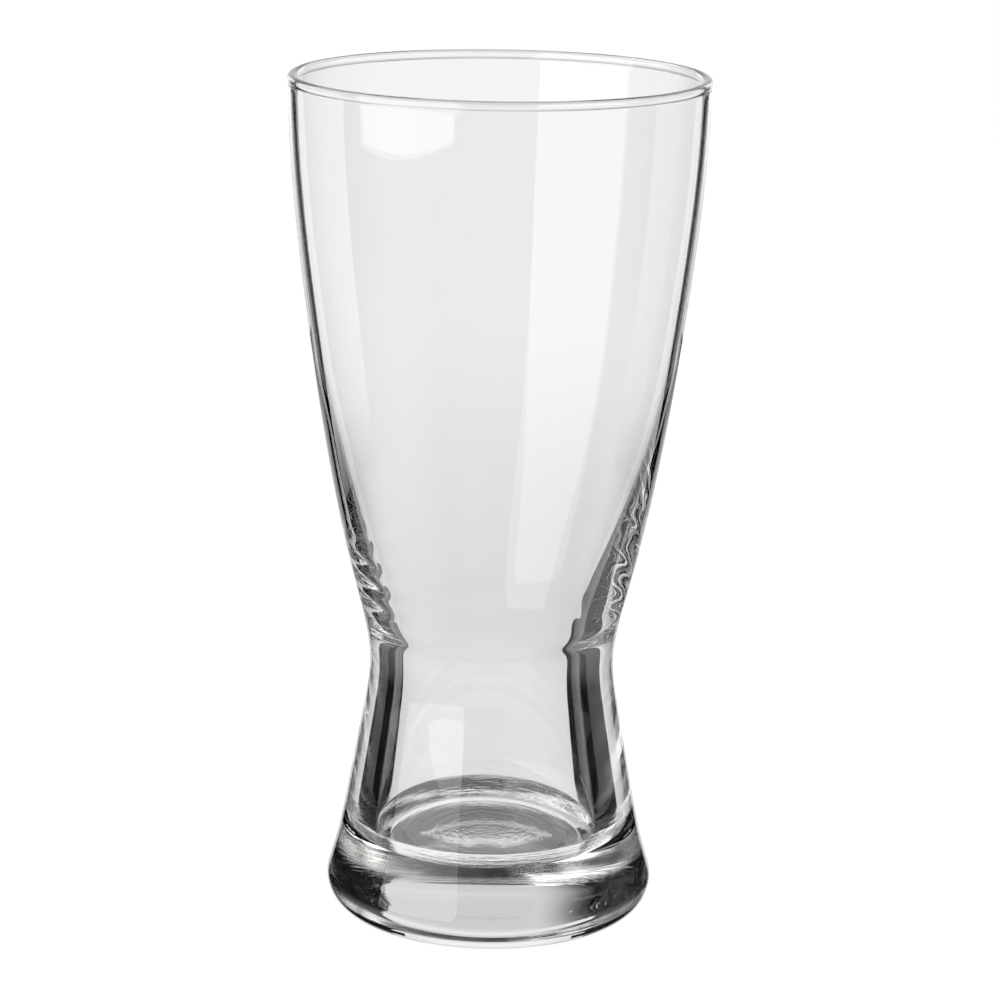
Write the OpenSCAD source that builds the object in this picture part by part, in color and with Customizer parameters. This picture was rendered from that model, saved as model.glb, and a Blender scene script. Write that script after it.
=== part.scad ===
// Hourglass pilsner glass, one revolved section in clear soda-lime glass.
// A heavy solid foot flares out below a drawn-in waist, and a tall bowl opens above it.
// Outside and inside are two different curves, so the wall swells from a thin lip
// to a thick waist and a solid base, as a pressed and blown glass has it.
// The section is parted at level joints into the zones that a glassmaker names.
// Millimetres, +Z up, origin at the centre of the plane the glass stands on.

/* [Rim] */
// Height from the table to the top of the rim
glass_h = 160; // [145:1:190]
// Diameter over the rounded lip
rim_d = 77.8; // [74:0.2:84]
// Thickness of the fire-polished lip
lip_t = 1.9; // [1.7:0.1:2.4]
// How far the lip stands proud of the wall outside
lip_proud = 0.2; // [0.1:0.05:0.35]
// Height of the rim zone, from its joint to the top of the lip
rim_h = 3; // [3:0.5:6]
// Thickness of the wall just below the lip
rim_wall = 1.3; // [1.1:0.05:1.5]
// Lean of the wall from upright just below the lip, in degrees
rim_lean = 0.8; // [0:0.2:3]

/* [Bowl] */
// Height of the middle of the bowl
bowl_z = 108; // [95:1:120]
// Outside diameter at the middle of the bowl
bowl_d = 68.4; // [64:0.2:72]
// Outside lean at the middle of the bowl, in degrees
bowl_lean = 7.8; // [5:0.2:10]
// Thickness of the wall at the middle of the bowl
bowl_wall_t = 1.65; // [1.4:0.05:2.6]
// Inside lean at the middle of the bowl, in degrees
bowl_inner_lean = 8.4; // [7:0.2:12]

/* [Waist] */
// Height of the root of the bowl, where the waist collar ends
root_z = 61; // [58:0.5:66]
// Outside diameter at the root of the bowl
root_d = 50.4; // [48:0.2:54]
// Outside lean at the root of the bowl, in degrees
root_lean = 15; // [10:0.5:20]
// Thickness of the wall at the root of the bowl
root_wall = 4.75; // [4:0.05:7]
// Inside lean of the funnel at the root of the bowl, in degrees
funnel_lean = 20; // [16:0.5:26]
// Height of the narrowest ring of the outside
waist_z = 48.6; // [46:0.2:50]
// Outside diameter at the narrowest ring
waist_d = 46.3; // [43:0.1:48]
// Height of the knee, where the waist curve meets the straight shank
knee_z = 40; // [37:0.5:43]
// Outside diameter at the knee
knee_d = 48.3; // [47:0.1:50]

/* [Bore] */
// Height of the throat, the narrowest ring of the inside
throat_z = 47.4; // [46:0.2:51]
// Diameter of the throat
throat_d = 35.5; // [32:0.1:37]
// Diameter of the bore at the knee
bore_d = 36.7; // [35:0.1:40]
// Widening of the bore from the knee towards its floor, as a lean in degrees
bore_lean = 7.6; // [4:0.1:9]
// Height of the floor of the bore above the table
floor_z = 13.6; // [11:0.2:18]
// Length of the bevel between the wall and the floor of the bore
bevel_w = 3.9; // [2:0.1:6]
// Slope of the bevel from level, in degrees
bevel_slope = 52; // [40:1:60]
// Radius of the two round edges of the bevel
bevel_round = 1.2; // [0.6:0.1:2]
// Width of the flat ring between the bevel and the plunger disc
ring_w = 1.8; // [0.8:0.1:3]
// Height of the plunger disc above the flat ring
disc_h = 0.25; // [0.1:0.05:0.6]
// Width of the slope round the plunger disc
disc_edge = 0.4; // [0.2:0.1:1]

/* [Foot] */
// Outside lean of the straight shank, in degrees
shank_lean = 10.3; // [9:0.1:12]
// Height of the joint between shank and solid base, above the floor of the bore
sham_rise = 8.4; // [7:0.2:10]
// Widest diameter of the foot
foot_d = 62.2; // [59:0.2:66]
// Outside lean where the flare runs into the heel, in degrees
foot_lean = 18; // [12:0.5:24]
// Radius of the heel between the flare and the bearing face
heel_r = 6; // [3:0.5:7]
// Diameter of the hollow under the foot
push_up_d = 28; // [20:0.5:40]
// Depth of the hollow under the foot
push_up_h = 1; // [0.6:0.1:2.5]

/* [Quality] */
// Number of steps along each curve of the section
curve_steps = 24; // [12:1:40]
// Number of sides of the revolved faces on screen
round_sides = 180; // [90:10:360]

/* [Hidden] */
glass_tint = [0.90, 0.94, 0.93, 0.45];

// Stations of the wall: radius, height and lean from upright, positive where it widens upwards
rim_out = [rim_d / 2 - lip_proud, glass_h - rim_h, rim_lean];
rim_in = rim_out - [rim_wall, 0, 0];
bowl_out = [bowl_d / 2, bowl_z, bowl_lean];
bowl_in = [bowl_d / 2 - bowl_wall_t, bowl_z, bowl_inner_lean];
root_out = [root_d / 2, root_z, root_lean];
root_in = [root_d / 2 - root_wall, root_z, funnel_lean];
throat_in = [throat_d / 2, throat_z, 0];
waist_out = [waist_d / 2, waist_z, 0];
knee_out = [knee_d / 2, knee_z, -shank_lean];

// Round lip: its centre, and the angles and stations where it meets the two faces of the wall
lip_c = [rim_d / 2 - lip_t / 2, glass_h - lip_t / 2];
lip_out_a = -acos(1 - 2 * lip_proud / lip_t);
lip_in_a = 180 + acos(1 - 2 * (lip_t - lip_proud - rim_wall) / lip_t);
neck_out = [rim_out.x, lip_c.y + lip_t / 2 * sin(lip_out_a), 0];
neck_in = [rim_in.x, lip_c.y + lip_t / 2 * sin(lip_in_a), 0];

// The straight stretches: the shank outside and the bore inside
sham_z = floor_z + sham_rise;
function shank_at(z) = [knee_d / 2 + (knee_z - z) * tan(shank_lean), z, -shank_lean];
function bore_at(z) = [bore_d / 2 + (knee_z - z) * tan(bore_lean), z, -bore_lean];

// Foot of the bore: the wall bends into the bevel and the bevel into the floor, each by its slope from level
wall_slope = 90 + bore_lean;
bevel_run = bevel_w * [cos(bevel_slope), sin(bevel_slope)];
bevel_drop = bend_by(wall_slope, bevel_slope) - bevel_run + bend_by(bevel_slope, 0);
bevel_top = at(bore_at(floor_z - bevel_drop.y));
bevel_low = bevel_top + bend_by(wall_slope, bevel_slope) - bevel_run;
disc_r = (bevel_low + bend_by(bevel_slope, 0)).x - ring_w;

// Centre of the heel, and the station where it runs into the flare
heel_c = [foot_d / 2 - heel_r, heel_r];
heel_out = [heel_c.x + heel_r * cos(foot_lean), heel_c.y + heel_r * sin(foot_lean), -foot_lean];

// Sphere that the hollow under the foot is part of
push_up_r = (pow(push_up_d / 2, 2) + pow(push_up_h, 2)) / (2 * push_up_h);
push_up_c = [0, push_up_h - push_up_r];
push_up_edge = asin(push_up_d / 2 / push_up_r);

// Points of a circular arc about c, from the angle a0 to the angle a1
function arc(c, r, a0, a1) =
    [for (i = [0 : curve_steps])
        let (a = a0 + (a1 - a0) * i / curve_steps)
        c + r * [cos(a), sin(a)]];

// Way along a round edge of the bore that turns from the slope a0 to the slope a1
function bend_by(a0, a1) = bevel_round * [sin(a1) - sin(a0), cos(a0) - cos(a1)];

// Points of that round edge, starting at p
function bend(p, a0, a1) =
    [for (i = [0 : curve_steps]) p + bend_by(a0, a0 + (a1 - a0) * i / curve_steps)];

// Points of a smooth wall from station a to station b: a cubic in height that keeps both leans
function flow(a, b) =
    let (h = b.y - a.y)
    [for (i = [0 : curve_steps])
        let (t = i / curve_steps, s = 1 - t)
        [s * s * (1 + 2 * t) * a.x + t * t * (3 - 2 * t) * b.x
            + t * s * h * (s * tan(a.z) - t * tan(b.z)),
         a.y + t * h]];

// Point of a station in the section
function at(s) = [s.x, s.y];

// A list of points without those that repeat the one before
function once(p) = [for (i = [0 : len(p) - 1]) if (i == 0 || norm(p[i] - p[i - 1]) > 1e-6) p[i]];

// One zone: its outline turned about the axis of the glass
module turned(outline) {
    color(glass_tint)
        rotate_extrude($fn = round_sides)
            polygon(once(outline));
}

// Fire-polished lip: the wall ends in a round bead that is thicker than itself
module rim_bead() {
    turned(concat(
        flow(rim_out, neck_out),
        arc(lip_c, lip_t / 2, lip_out_a, 0),
        arc(lip_c, lip_t / 2, 0, 180),
        arc(lip_c, lip_t / 2, 180, lip_in_a),
        flow(neck_in, rim_in)));
}

// Tall flared bowl: thin above, thickening steadily towards its root
module bowl_wall() {
    turned(concat(
        flow(root_out, bowl_out),
        flow(bowl_out, rim_out),
        flow(rim_in, bowl_in),
        flow(bowl_in, root_in)));
}

// Drawn-in waist: the funnel runs down to the throat, and the bore opens again below it
module waist_collar() {
    turned(concat(
        flow(knee_out, waist_out),
        flow(waist_out, root_out),
        flow(root_in, throat_in),
        flow(throat_in, bore_at(knee_z))));
}

// Shank: a straight cone outside, a bore that widens downwards inside
module shank_wall() {
    turned([
        at(shank_at(sham_z)),
        at(knee_out),
        at(bore_at(knee_z)),
        at(bore_at(sham_z))]);
}

// Solid base: the flared foot outside, the bevelled floor of the bore with its plunger disc inside
module sham_base() {
    turned(concat(
        [[0, heel_out.y]],
        flow(heel_out, shank_at(sham_z)),
        [at(bore_at(sham_z))],
        bend(bevel_top, wall_slope, bevel_slope),
        bend(bevel_low, bevel_slope, 0),
        [[disc_r, floor_z],
         [disc_r - disc_edge, floor_z + disc_h],
         [0, floor_z + disc_h]]));
}

// Bearing foot: rounded heel, flat ring that the glass stands on, shallow hollow inside the ring
module bearing_foot() {
    turned(concat(
        arc(push_up_c, push_up_r, 90, 90 - push_up_edge),
        arc(heel_c, heel_r, -90, foot_lean),
        [[0, heel_out.y]]));
}

rim_bead();
bowl_wall();
waist_collar();
shank_wall();
sham_base();
bearing_foot();
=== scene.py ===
import math

import bpy
import numpy as np
from mathutils import Matrix, Vector


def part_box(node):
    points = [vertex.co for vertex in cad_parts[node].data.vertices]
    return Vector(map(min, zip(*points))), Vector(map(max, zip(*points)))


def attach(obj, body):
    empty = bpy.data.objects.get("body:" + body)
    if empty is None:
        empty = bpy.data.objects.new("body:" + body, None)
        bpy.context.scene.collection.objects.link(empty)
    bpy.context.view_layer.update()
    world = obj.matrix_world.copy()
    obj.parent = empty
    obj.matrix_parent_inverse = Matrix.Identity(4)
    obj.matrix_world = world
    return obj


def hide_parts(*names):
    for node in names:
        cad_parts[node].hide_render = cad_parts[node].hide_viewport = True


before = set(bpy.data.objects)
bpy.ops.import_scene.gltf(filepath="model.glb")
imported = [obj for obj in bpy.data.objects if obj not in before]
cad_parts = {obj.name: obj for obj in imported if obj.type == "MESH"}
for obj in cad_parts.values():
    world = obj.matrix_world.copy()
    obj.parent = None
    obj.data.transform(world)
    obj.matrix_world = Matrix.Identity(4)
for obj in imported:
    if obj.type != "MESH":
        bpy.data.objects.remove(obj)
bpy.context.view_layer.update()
scene = bpy.context.scene


# The section of the glass: one gob of soda-lime glass, pressed by a plunger and blown in a mould.
# The mould gives the outside, the plunger and the air give the inside, so the two walls are
# separate curves, from a thin lip down to a thick waist and a solid base.

MM = 0.001

rim_low, rim_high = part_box("rim_bead")
bowl_low, bowl_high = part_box("bowl_wall")
collar_low, collar_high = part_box("waist_collar")
shank_low, shank_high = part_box("shank_wall")
foot_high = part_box("bearing_foot")[1]

glass_h = rim_high.z
lip_r = rim_high.x
lip_t = 1.9 * MM
rim_z = rim_low.z
rim_r = bowl_high.x
rim_wall = 1.3 * MM
neck_round = 0.25 * MM
root_z = bowl_low.z
root_r = collar_high.x
knee_z = collar_low.z
sham_z = shank_low.z
sham_r = shank_high.x
heel_z = foot_high.z
foot_r = foot_high.x

waist_z, waist_r = 48.6 * MM, 23.15 * MM
knee_r = 24.15 * MM
bowl_z, bowl_r = 108 * MM, 34.2 * MM
bowl_wall = 1.65 * MM
root_wall = 4.75 * MM
throat_z, throat_r = 47.4 * MM, 17.75 * MM
bore_r = 18.35 * MM
floor_z = 13.6 * MM
bevel_w, bevel_round = 4.2 * MM, 0.5 * MM
ring_w, disc_h, disc_edge = 2.3 * MM, 0.25 * MM, 0.4 * MM
ripple_h, ripple_w = 0.02 * MM, 2.3 * MM
heel_r = 6 * MM
push_up_r, push_up_h = 14 * MM, 0.5 * MM

# Leans are degrees from upright, slopes are degrees from level.
RIM_LEAN, BOWL_LEAN, ROOT_LEAN = 0.8, 7.8, 15
BOWL_INNER_LEAN, FUNNEL_LEAN, BORE_LEAN = 8.4, 20, 7.6
SHANK_LEAN, FOOT_LEAN = 10.3, 18
WALL_SLOPE, BEVEL_SLOPE = 90 + BORE_LEAN, 52


def arc(centre, radius, start, end, steps):
    """Points of a circle about the centre, from the start angle to the end angle, in degrees."""
    angle = np.radians(np.linspace(start, end, steps + 1))
    return np.stack([centre[0] + radius * np.cos(angle), centre[1] + radius * np.sin(angle)], 1)


def flow(low, high, steps):
    """Wall between two stations (radius, height, lean): the cubic in height that keeps both leans."""
    t = np.linspace(0, 1, steps + 1)
    s = 1 - t
    rise = high[1] - low[1]
    lean_low, lean_high = (math.tan(math.radians(station[2])) for station in (low, high))
    radius = (s * s * (1 + 2 * t) * low[0] + t * t * (3 - 2 * t) * high[0]
              + t * s * rise * (s * lean_low - t * lean_high))
    return np.stack([radius, low[1] + t * rise], 1)


def straight(start, end, steps):
    """Evenly spaced points on the line between two points of the section."""
    return np.linspace(start, end, steps + 1)


def ramp(value, start, end):
    """Smooth ramp: 0 up to the start, 1 from the end on, a cubic between."""
    t = np.clip((value - start) / (end - start), 0, 1)
    return t * t * (3 - 2 * t)


def bore_at(z):
    """Radius of the bore at a height: a straight cone that widens from the knee to the floor."""
    return bore_r + (knee_z - z) * math.tan(math.radians(BORE_LEAN))


def bend(start, radius, first, last, steps):
    """Round edge of the bore: from a point on, it turns from the first slope to the last on a circle."""
    slope = np.radians(np.linspace(first, last, steps + 1))
    run, rise = np.sin(slope) - np.sin(slope[0]), np.cos(slope[0]) - np.cos(slope)
    return start + radius * np.stack([run, rise], 1)


def necked(wall_r, side):
    """Angle on the bead and height on the wall where a small hollow round joins the two on one side."""
    gap = side * (wall_r - lip_c[0]) + neck_round
    reach = lip_t / 2 + neck_round
    angle = math.degrees(math.acos(gap / reach))
    return angle, lip_c[1] - reach * math.sin(math.radians(angle))


# Stations of the two walls, from the foot up and from the rim down: radius, height and lean.
heel_c = (foot_r - heel_r, heel_r)
heel_out = (foot_r - heel_r + heel_r * math.cos(math.radians(FOOT_LEAN)), heel_z, -FOOT_LEAN)
sham_out = (sham_r, sham_z, -SHANK_LEAN)
knee_out = (knee_r, knee_z, -SHANK_LEAN)
waist_out = (waist_r, waist_z, 0)
root_out = (root_r, root_z, ROOT_LEAN)
bowl_out = (bowl_r, bowl_z, BOWL_LEAN)
rim_out = (rim_r, rim_z, RIM_LEAN)
lip_c = (lip_r - lip_t / 2, glass_h - lip_t / 2)
rim_in = (rim_r - rim_wall, rim_z, RIM_LEAN)
bowl_in = (bowl_r - bowl_wall, bowl_z, BOWL_INNER_LEAN)
root_in = (root_r - root_wall, root_z, FUNNEL_LEAN)
throat_in = (throat_r, throat_z, 0)
bore_in = (bore_r, knee_z, -BORE_LEAN)

# The fire-polished lip: a round bead on a neck that is hollowed a little on both sides.
turn_out, neck_out_z = necked(rim_r, 1)
turn_in, neck_in_z = necked(rim_r - rim_wall, -1)
neck_bead = np.concatenate([
    arc((rim_r + neck_round, neck_out_z), neck_round, 180, 180 - turn_out, steps=4),
    arc(lip_c, lip_t / 2, -turn_out, 180 + turn_in, steps=22)[1:],
    arc((rim_r - rim_wall - neck_round, neck_in_z), neck_round, turn_in, 0, steps=4)[1:],
])

# The foot of the bore: a round edge, the bevel and a second round edge run down to the floor.
corner = bend(np.zeros(2), bevel_round, WALL_SLOPE, BEVEL_SLOPE, steps=8)
bevel_run = bevel_w * math.cos(math.radians(BEVEL_SLOPE))
bevel_fall = bevel_w * math.sin(math.radians(BEVEL_SLOPE))
bevel = corner[-1] - [bevel_run, bevel_fall]
corner = np.concatenate([
    corner,
    straight(corner[-1], bevel, steps=5)[1:],
    bend(bevel, bevel_round, BEVEL_SLOPE, 0, steps=8)[1:],
])
bevel_z = floor_z - corner[-1][1]
corner = corner + [bore_at(bevel_z), bevel_z]

# The floor of the bore: a flat ring, then the disc of the plunger, which rises on a logistic curve
# and has cosine ripples that fade out towards the axis.
disc_span = straight(corner[-1][0], 0, steps=40)[1:-1]
disc_r = corner[-1][0] - ring_w
calm_r, rippled_r = 0.3 * disc_r, 0.7 * disc_r
disc_soft = disc_edge / 4
disc_rise = disc_h / (1 + np.exp((disc_span - disc_r) / disc_soft))
ripple = ripple_h * ramp(disc_span, calm_r, rippled_r) * (disc_span < disc_r - disc_edge)
disc_wave = ripple * np.cos(2 * np.pi * disc_span / ripple_w)
disc = np.stack([disc_span, floor_z + disc_rise + disc_wave], 1)

# The hollow under the foot is part of a sphere.
dome_radius = (push_up_r ** 2 + push_up_h ** 2) / (2 * push_up_h)
dome_edge = math.degrees(math.asin(push_up_r / dome_radius))

outside = np.concatenate([
    arc((0, push_up_h - dome_radius), dome_radius, 90, 90 - dome_edge, steps=10)[1:],
    straight((push_up_r, 0), (heel_c[0], 0), steps=8)[1:],
    arc(heel_c, heel_r, -90, FOOT_LEAN, steps=20)[1:],
    flow(heel_out, sham_out, steps=14)[1:],
    flow(sham_out, knee_out, steps=6)[1:],
    flow(knee_out, waist_out, steps=12)[1:],
    flow(waist_out, root_out, steps=14)[1:],
    flow(root_out, bowl_out, steps=20)[1:],
    flow(bowl_out, rim_out, steps=16)[1:],
    neck_bead,
])
inside = np.concatenate([
    straight(neck_bead[-1], rim_in[:2], steps=2)[1:],
    flow(rim_in, bowl_in, steps=16)[1:],
    flow(bowl_in, root_in, steps=56)[1:],
    flow(root_in, throat_in, steps=20)[1:],
    flow(throat_in, bore_in, steps=10)[1:],
    straight((bore_r, knee_z), corner[0], steps=8)[1:],
    corner[1:],
    disc,
])


# The glass body: one closed skin of clear glass, turned from the section about the upright axis.
# The plunger stood a little off the axis, and the inside wall has settled in a soft step above
# the throat and in folds on one side.

AROUND = 300
drift_x, drift_top_z = -0.5 * MM, 95 * MM
step_z, step_h, step_w = 56 * MM, 0.14 * MM, 1.2 * MM
step_reach = 4 * step_w
fold_z, fold_h, fold_w = 66 * MM, 0.1 * MM, 4.5 * MM
fold_reach = 1.4 * fold_w
FOLD_SPREAD, FOLD_SLANT = 0.6, 2.5


def settled(profile, turn):
    """Radius and drift of the inside wall.

    The step is a hyperbolic tangent in height under a bell curve. The folds are a sine in height,
    slanted round the axis, under two bell curves, one in height and one round the left side.
    """
    radius, height = profile[:, :1], profile[:, 1:]
    step = step_h * np.tanh((height - step_z) / step_w) * np.exp(-((height - step_z) / step_reach) ** 2)
    off_left = np.pi - np.abs((turn + np.pi) % (2 * np.pi) - np.pi)
    fold = (fold_h * np.sin(2 * np.pi * height / fold_w + FOLD_SLANT * off_left)
            * np.exp(-((height - fold_z) / fold_reach) ** 2) * np.exp(-(off_left / FOLD_SPREAD) ** 2))
    drift = drift_x * (1 - ramp(height, root_z, drift_top_z))
    return radius + step + fold, drift + 0 * turn


turn = np.linspace(0, 2 * np.pi, AROUND, endpoint=False)
inner_radius, drift = settled(inside, turn)
section = np.concatenate([outside, inside])
radius = np.concatenate([outside[:, :1] + 0 * turn, inner_radius])
drift = np.concatenate([np.zeros((len(outside), AROUND)), drift])
skin = np.stack([radius * np.cos(turn) + drift, radius * np.sin(turn), section[:, 1:] + 0 * turn], -1)
poles = np.array([[0, 0, push_up_h], skin[-1].mean(0)])


def faces_of(rows):
    """Faces of the skin: quads between neighbouring rows, and triangles to the pole at each end."""
    here = np.arange(AROUND)
    after = (here + 1) % AROUND
    row = np.arange(rows - 1)[:, None] * AROUND
    quads = np.stack([row + here, row + after, row + AROUND + after, row + AROUND + here], -1)
    low, high, last = rows * AROUND, rows * AROUND + 1, (rows - 1) * AROUND
    fans = np.concatenate([
        np.stack([after, here, 0 * here + low], -1),
        np.stack([last + here, last + after, 0 * here + high], -1)])
    return quads.reshape(-1, 4).tolist() + fans.tolist()


def outward_of(skin, poles):
    """Normals of the skin: the slope round the axis crossed with the slope along the section."""
    whole = np.concatenate([0 * skin[:1] + poles[0], skin, 0 * skin[:1] + poles[1]])
    leg = np.diff(whole, axis=0)
    length = np.linalg.norm(leg, axis=-1, keepdims=True)
    along = leg[:-1] * length[1:] / length[:-1] + leg[1:] * length[:-1] / length[1:]
    around = np.roll(skin, -1, 1) - np.roll(skin, 1, 1)
    normal = np.cross(around, along)
    normal /= np.linalg.norm(normal, axis=-1, keepdims=True)
    return np.concatenate([normal.reshape(-1, 3), [[0, 0, -1], [0, 0, 1]]])


glass_mesh = bpy.data.meshes.new("pilsner_glass")
glass_mesh.from_pydata(skin.reshape(-1, 3).tolist() + poles.tolist(), [], faces_of(len(section)))
glass_mesh.polygons.foreach_set("use_smooth", np.ones(len(glass_mesh.polygons), bool))
glass_mesh.update()
glass_mesh.normals_split_custom_set_from_vertices(outward_of(skin, poles).tolist())
glass = bpy.data.objects.new("pilsner_glass", glass_mesh)
scene.collection.objects.link(glass)

# Marks of the making and of use, kept on the skin: the place along the lathe, the worn bearing ring
# and the pressed floor of the bore.
worn_low_z, worn_high_z, worn_soft = 0.05 * MM, 0.6 * MM, 0.5 * MM
pressed_soft = 1 * MM
path = np.concatenate([[0], np.cumsum(np.linalg.norm(np.diff(section, axis=0), axis=1))]) / MM
lathe = np.stack([np.cos(turn) + 0 * radius, np.sin(turn) + 0 * radius, path[:, None] + 0 * radius], -1)
lathe = np.concatenate([lathe.reshape(-1, 3), [[0, 0, 0], [0, 0, path[-1]]]])
worn = ((1 - ramp(section[:, 1], worn_low_z, worn_high_z))
        * ramp(section[:, 0], push_up_r - worn_soft, push_up_r + worn_soft))
pressed = np.concatenate([0 * outside[:, 1], 1 - ramp(inside[:, 1], bevel_z, bevel_z + pressed_soft)])
for name, mark in (("worn", worn), ("pressed", pressed)):
    layer = glass_mesh.attributes.new(name, "FLOAT", "POINT")
    layer.data.foreach_set("value", np.append(np.repeat(mark, AROUND), [0, mark[-1]]))
layer = glass_mesh.attributes.new("lathe", "FLOAT_VECTOR", "POINT")
layer.data.foreach_set("vector", lathe.reshape(-1))

# Clear glass with a faint tint in its depth. Streaks along the lathe roughen the worn ring
# and dent the ring and the pressed floor.
STREAKS_AROUND, STREAKS_ALONG = 4, 1.6
ROUGH_SWING, ROUGH_LEAST = 0.16, 0.02
worn_depth, pressed_depth = 0.12 * MM, 0.09 * MM

clear_glass = bpy.data.materials.new("clear_soda_lime_glass")
clear_glass.use_nodes = True
nodes, links = clear_glass.node_tree.nodes, clear_glass.node_tree.links
shader = nodes["Principled BSDF"]
shader.inputs["Base Color"].default_value = (1, 1, 1, 1)
shader.inputs["Roughness"].default_value = 0
shader.inputs["IOR"].default_value = 1.52
shader.inputs["Transmission Weight"].default_value = 1
tint = nodes.new("ShaderNodeVolumeAbsorption")
tint.inputs["Color"].default_value = (0.86, 0.88, 0.83, 1)
tint.inputs["Density"].default_value = 4
links.new(tint.outputs["Volume"], nodes["Material Output"].inputs["Volume"])


def mark_of(name):
    """Attribute node that reads one of the marks from the skin."""
    node = nodes.new("ShaderNodeAttribute")
    node.attribute_name = name
    return node


def arithmetic(operation, first, second, third=None):
    """Output of a math node whose inputs are linked to sockets or set to plain numbers."""
    node = nodes.new("ShaderNodeMath")
    node.operation = operation
    for socket, value in zip(node.inputs, (first, second, third)):
        if isinstance(value, bpy.types.NodeSocket):
            links.new(value, socket)
        elif value is not None:
            socket.default_value = value
    return node.outputs[0]


stretch = nodes.new("ShaderNodeVectorMath")
stretch.operation = "MULTIPLY"
stretch.inputs[1].default_value = (STREAKS_AROUND, STREAKS_AROUND, STREAKS_ALONG)
links.new(mark_of("lathe").outputs["Vector"], stretch.inputs[0])
streak = nodes.new("ShaderNodeTexNoise")
streak.inputs["Scale"].default_value = 1
streak.inputs["Detail"].default_value = 3
links.new(stretch.outputs[0], streak.inputs["Vector"])
streaks = streak.outputs["Fac"]
worn_mark, pressed_mark = mark_of("worn").outputs["Fac"], mark_of("pressed").outputs["Fac"]
scuff = arithmetic("MULTIPLY_ADD", streaks, ROUGH_SWING, ROUGH_LEAST)
links.new(arithmetic("MULTIPLY", worn_mark, scuff), shader.inputs["Roughness"])
pressed_dent = arithmetic("MULTIPLY", pressed_mark, pressed_depth)
depth = arithmetic("MULTIPLY_ADD", worn_mark, worn_depth, pressed_dent)
bump = nodes.new("ShaderNodeBump")
bump.inputs["Distance"].default_value = 1
links.new(arithmetic("MULTIPLY", streaks, depth), bump.inputs["Height"])
links.new(bump.outputs["Normal"], shader.inputs["Normal"])
glass_mesh.materials.append(clear_glass)

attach(glass, "root")
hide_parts("rim_bead", "bowl_wall", "waist_collar", "shank_wall", "sham_base", "bearing_foot")


# The camera: it stands above the rim, well back with a long lens, and looks down at the middle
# of the glass. Its small shift and roll are those of the photo's framing.

eye, aim = Vector((0, -0.6266, 0.2383)), Vector((0, 0, glass_h / 2))
CAMERA_ROLL = 0.85


def aimed(place, target):
    """Matrix that stands at a place and looks along the line to a target, upright."""
    return Matrix.Translation(place) @ (target - place).to_track_quat("-Z", "Y").to_matrix().to_4x4()


camera_data = bpy.data.cameras.new("camera")
camera_data.sensor_width = 36
camera_data.lens = 123.6
camera_data.shift_x = 0.0061
camera_data.shift_y = -0.0013
camera = bpy.data.objects.new("camera", camera_data)
scene.collection.objects.link(camera)
scene.camera = camera
camera.matrix_world = aimed(eye, aim) @ Matrix.Rotation(math.radians(CAMERA_ROLL), 4, "Z")


# The table: a pale matt top with no edge in sight, mostly white by its own glow, which keeps the
# soft shadow of the glass. The glass looks past it, to painted shadow and light under its foot and the
# backdrop.

table_reach, table_drop = 20, 0.2 * MM
GLOW, GLOW_SHARE = 1.14, 0.85

table_mesh = bpy.data.meshes.new("table")
table_corners = table_reach * np.array([(-1, -1, 0), (1, -1, 0), (1, 1, 0), (-1, 1, 0)])
table_mesh.from_pydata(table_corners.tolist(), [], [(0, 1, 2, 3)])
table = bpy.data.objects.new("table", table_mesh)
table.location.z = -table_drop
scene.collection.objects.link(table)
table.visible_transmission = False
table.visible_glossy = False
table_paint = bpy.data.materials.new("pale_table")
table_paint.use_nodes = True
nodes, links = table_paint.node_tree.nodes, table_paint.node_tree.links
nodes.remove(nodes["Principled BSDF"])
matt = nodes.new("ShaderNodeBsdfDiffuse")
matt.inputs["Color"].default_value = (0.9, 0.9, 0.9, 1)
glow = nodes.new("ShaderNodeEmission")
glow.inputs["Strength"].default_value = GLOW
mix = nodes.new("ShaderNodeMixShader")
mix.inputs["Fac"].default_value = GLOW_SHARE
links.new(matt.outputs[0], mix.inputs[1])
links.new(glow.outputs[0], mix.inputs[2])
links.new(mix.outputs[0], nodes["Material Output"].inputs["Surface"])
table_mesh.materials.append(table_paint)


# The backdrop: plain white for the camera. What the glass shows of it is a little cool, lightest
# level with the glass, dimmer towards the floor and dark overhead.

FLOOR_COLOUR, ZENITH_COLOUR = (0.6, 0.6, 0.61, 1), (0.04, 0.04, 0.04, 1)
COOL = 1.015
# Elevation in degrees and light
BACKDROP_GRADE = ((-46, 0.6), (-40, 0.8), (-22, 0.84), (-19, 0.88), (-12, 0.985), (8, 0.985),
                  (18, 0.7), (31, 0.66), (42, 0.06))

world = bpy.data.worlds.new("backdrop")
world.use_nodes = True
nodes, links = world.node_tree.nodes, world.node_tree.links
place = nodes.new("ShaderNodeTexCoord")
rise = nodes.new("ShaderNodeSeparateXYZ")
links.new(place.outputs["Generated"], rise.inputs[0])
span = nodes.new("ShaderNodeMapRange")
span.inputs["From Min"].default_value = -1
links.new(rise.outputs["Z"], span.inputs["Value"])
grade = nodes.new("ShaderNodeValToRGB")
links.new(span.outputs["Result"], grade.inputs["Fac"])
stops = grade.color_ramp.elements
stops[0].position, stops[0].color = 0, FLOOR_COLOUR
stops[1].position, stops[1].color = 1, ZENITH_COLOUR
for elevation, light in BACKDROP_GRADE:
    stop = stops.new(0.5 + 0.5 * math.sin(math.radians(elevation)))
    stop.color = (light, light, COOL * light, 1)
seen = nodes.new("ShaderNodeMix")
seen.data_type = "RGBA"
links.new(nodes.new("ShaderNodeLightPath").outputs["Is Camera Ray"], seen.inputs["Factor"])
graded, plain = (socket for socket in seen.inputs if socket.type == "RGBA")
links.new(grade.outputs["Color"], graded)
plain.default_value = (1, 1, 1, 1)
shown = next(socket for socket in seen.outputs if socket.type == "RGBA")
links.new(shown, nodes["Background"].inputs["Color"])
scene.world = world


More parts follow.
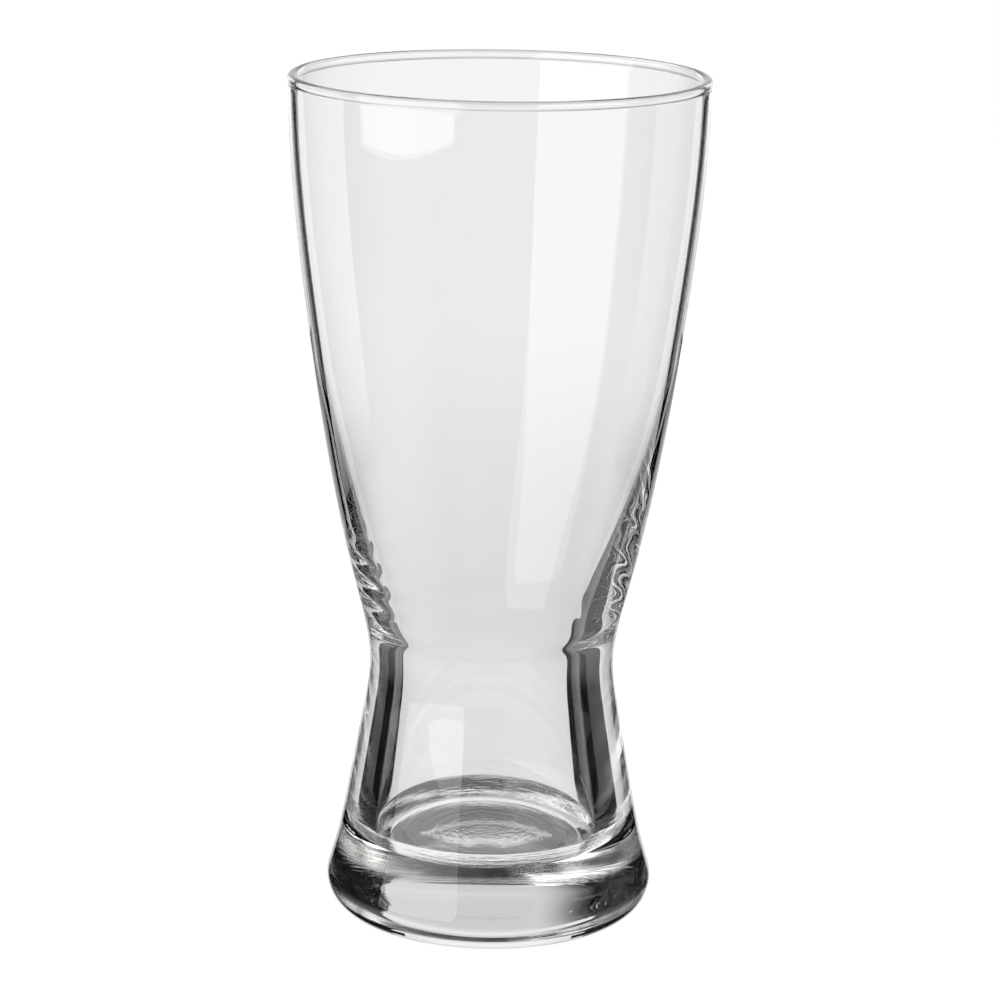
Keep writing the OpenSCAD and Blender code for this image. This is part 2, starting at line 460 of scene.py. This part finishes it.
# The light stand: the cards and the soft boxes hang on it, over the glass. It turns with the camera,
# so that every view has the backdrop behind the glass, and it stays level.

stand = bpy.data.objects.new("light_stand", None)
scene.collection.objects.link(stand)
level_turn = stand.constraints.new("COPY_ROTATION")
level_turn.target = camera
level_turn.use_x = False
level_turn.use_y = False


# The cards: a black curtain round the set is open behind the glass, which gives thick walls their
# dark edges. White cards stand at the sides and overhead, and cards under the foot paint the shadow
# of the glass and the light through it on the table. Only the glass sees them.

CARD_STEPS = 65
CURTAIN_R, VEIL_R, HIGH_R, FRONT_R, LOW_R, NEAR_R = 3, 2.95, 2.9, 1.5, 1, 0.15
PAPER_Z = -0.1 * MM
# BLACK is the light of the curtain, SHADE that of the painted shadow under the foot
BLACK, SHADE = 0.005, 0.15

card_glow = bpy.data.materials.new("card_glow")
card_glow.use_nodes = True
nodes, links = card_glow.node_tree.nodes, card_glow.node_tree.links
nodes.remove(nodes["Principled BSDF"])
written = nodes.new("ShaderNodeAttribute")
written.attribute_name = "light"
glow = nodes.new("ShaderNodeEmission")
links.new(written.outputs["Fac"], glow.inputs["Strength"])
links.new(glow.outputs[0], nodes["Material Output"].inputs["Surface"])


def card(name, radii, heights, turns, lights, ends=(1, 1)):
    """Band about the axis of the glass, from one radius and height to another.

    It runs between two turns, in degrees from the back of the set. Its light is a smooth ramp from
    the first of the lights to the last along the turn, times the share that the two edges of the
    band are given, evenly between them.
    """
    turn = np.radians(np.linspace(90 + turns[0], 90 + turns[1], CARD_STEPS))
    far, rise = np.repeat(radii, CARD_STEPS), np.repeat(heights, CARD_STEPS)
    points = np.stack([far * np.cos(np.tile(turn, 2)), far * np.sin(np.tile(turn, 2)), rise], -1)
    cell = np.arange(CARD_STEPS - 1)
    faces = np.stack([cell, cell + 1, cell + 1 + CARD_STEPS, cell + CARD_STEPS], -1)
    mesh = bpy.data.meshes.new(name)
    mesh.from_pydata(points.tolist(), [], faces.tolist())
    light = lights[0] + (lights[1] - lights[0]) * ramp(np.linspace(0, 1, CARD_STEPS), 0, 1)
    layer = mesh.attributes.new("light", "FLOAT", "POINT")
    layer.data.foreach_set("value", np.outer(ends, light).reshape(-1))
    mesh.materials.append(card_glow)
    band = bpy.data.objects.new(name, mesh)
    scene.collection.objects.link(band)
    band.visible_camera = False
    band.visible_diffuse = False
    band.visible_shadow = False
    band.parent = stand
    return band


# The curtain round the set, a thin veil beside its opening, and the cards overhead
for name, radius, heights, turns, lights in (
        ("low_curtain", CURTAIN_R, (-6, 0.35), (22, 338), (BLACK, BLACK)),
        ("high_curtain", CURTAIN_R, (0.35, 1.8), (27, 333), (BLACK, BLACK)),
        ("veil", VEIL_R, (0.75, 1.8), (10, 27), (0.7, 0.04)),
        ("left_high_card", HIGH_R, (1.85, 3.6), (14, 70), (2, 2)),
        ("right_high_card", HIGH_R, (1.85, 3.6), (-24, -70), (0.5, 0.5)),
        ("front_high_card", FRONT_R, (1.5, 4), (124, 150), (1.5, 1.5))):
    card(name, (radius, radius), heights, turns, lights)

# Cards close to the glass and below the table top, which show in reflections alone
for name, side, reach, light, low_light, side_end in (
        ("left", 1, 150, 2.1, 1.6, 1.9),
        ("right", -1, 115, 1.9, 1.2, 0.9)):
    for part, radius, heights, turns, lights, ends in (
            ("side", NEAR_R, (0.05, 0.25), (52, 98), (light, side_end), (1, 1)),
            ("side_foot", NEAR_R, (0.028, 0.05), (52, 98), (light, side_end), (0.35, 1)),
            ("rear", NEAR_R, (0.03, 0.055), (24, 40), (0.9, 0.6), (1, 1)),
            ("rear_top", NEAR_R, (0.055, 0.08), (24, 40), (0.9, 0.6), (1, 0)),
            ("rear_foot", NEAR_R, (0.005, 0.03), (24, 40), (0.9, 0.6), (0, 1)),
            ("low", LOW_R, (-0.45, -1), (52, 90), (0.5, low_light), (1, 1)),
            ("low_front", LOW_R, (-0.45, -1), (90, reach), (low_light, 0), (1, 1)),
            ("dim", LOW_R, (-0.2, -0.45), (52, 90), (0.5, low_light), (0, 1)),
            ("dim_front", LOW_R, (-0.2, -0.45), (90, reach), (low_light, 0), (0, 1))):
        turns = (side * turns[0], side * turns[1])
        band = card(name + "_" + part + "_card", (radius, radius), heights, turns, lights, ends)
        band.visible_transmission = False

# Painted shadow and painted light on the table under the foot, seen through the base alone: the shaded
# cards paint the shade of the glass, the lit cards paint light that reaches the table through the glass
for name, radii, turns, light in (
        ("lit_middle", (0.004, 0.016), (-60, 60), 0.75),
        ("shaded_middle", (0, 0.004), (0, 360), SHADE),
        ("shaded_sides", (0.004, 0.016), (60, 300), SHADE),
        ("shaded_ring", (0.016, 0.0188), (0, 360), SHADE),
        ("lit_front", (0.0188, 0.0305), (100, 260), 0.9),
        ("shaded_back", (0.0188, 0.025), (-100, 100), SHADE),
        ("lit_back", (0.025, 0.0305), (-100, 100), 0.95)):
    card(name, radii, (PAPER_Z, PAPER_Z), turns, (light, light)).visible_glossy = False


# The soft boxes: two lamps behind white cloth, in front of the glass, one on each side of the camera.
# They show as soft patches on the glass and light the table.

WATTS_PER_AREA = 4


def soft_box(name, azimuth, elevation, distance, width, height, radiance):
    """Area lamp aimed at the middle of the glass: it is turned from the camera's side by two angles."""
    lamp = bpy.data.lights.new(name, "AREA")
    lamp.shape = "RECTANGLE"
    lamp.size, lamp.size_y = width, height
    lamp.energy = radiance * WATTS_PER_AREA * width * height
    box = bpy.data.objects.new(name, lamp)
    scene.collection.objects.link(box)
    a, e = math.radians(azimuth), math.radians(elevation)
    place = aim + distance * Vector((math.sin(a) * math.cos(e), -math.cos(a) * math.cos(e), math.sin(e)))
    box.matrix_world = aimed(place, aim)
    box.parent = stand
    return box


soft_box("soft_box_left", azimuth=-52, elevation=18.8, distance=1.2, width=1.4, height=1.33, radiance=1.2)
right_box = soft_box("soft_box_right", azimuth=57, elevation=40, distance=1.2, width=1.35, height=0.7,
                     radiance=1.4)
right_box.visible_transmission = False


# The view: colours as they are written, and enough bounces for light to pass the walls and the base
# many times over. The light that glass would focus on the table is left out.

scene.view_settings.view_transform = "Standard"
scene.cycles.max_bounces = 40
scene.cycles.transmission_bounces = 32
scene.cycles.glossy_bounces = 24
scene.cycles.caustics_reflective = False
scene.cycles.caustics_refractive = False
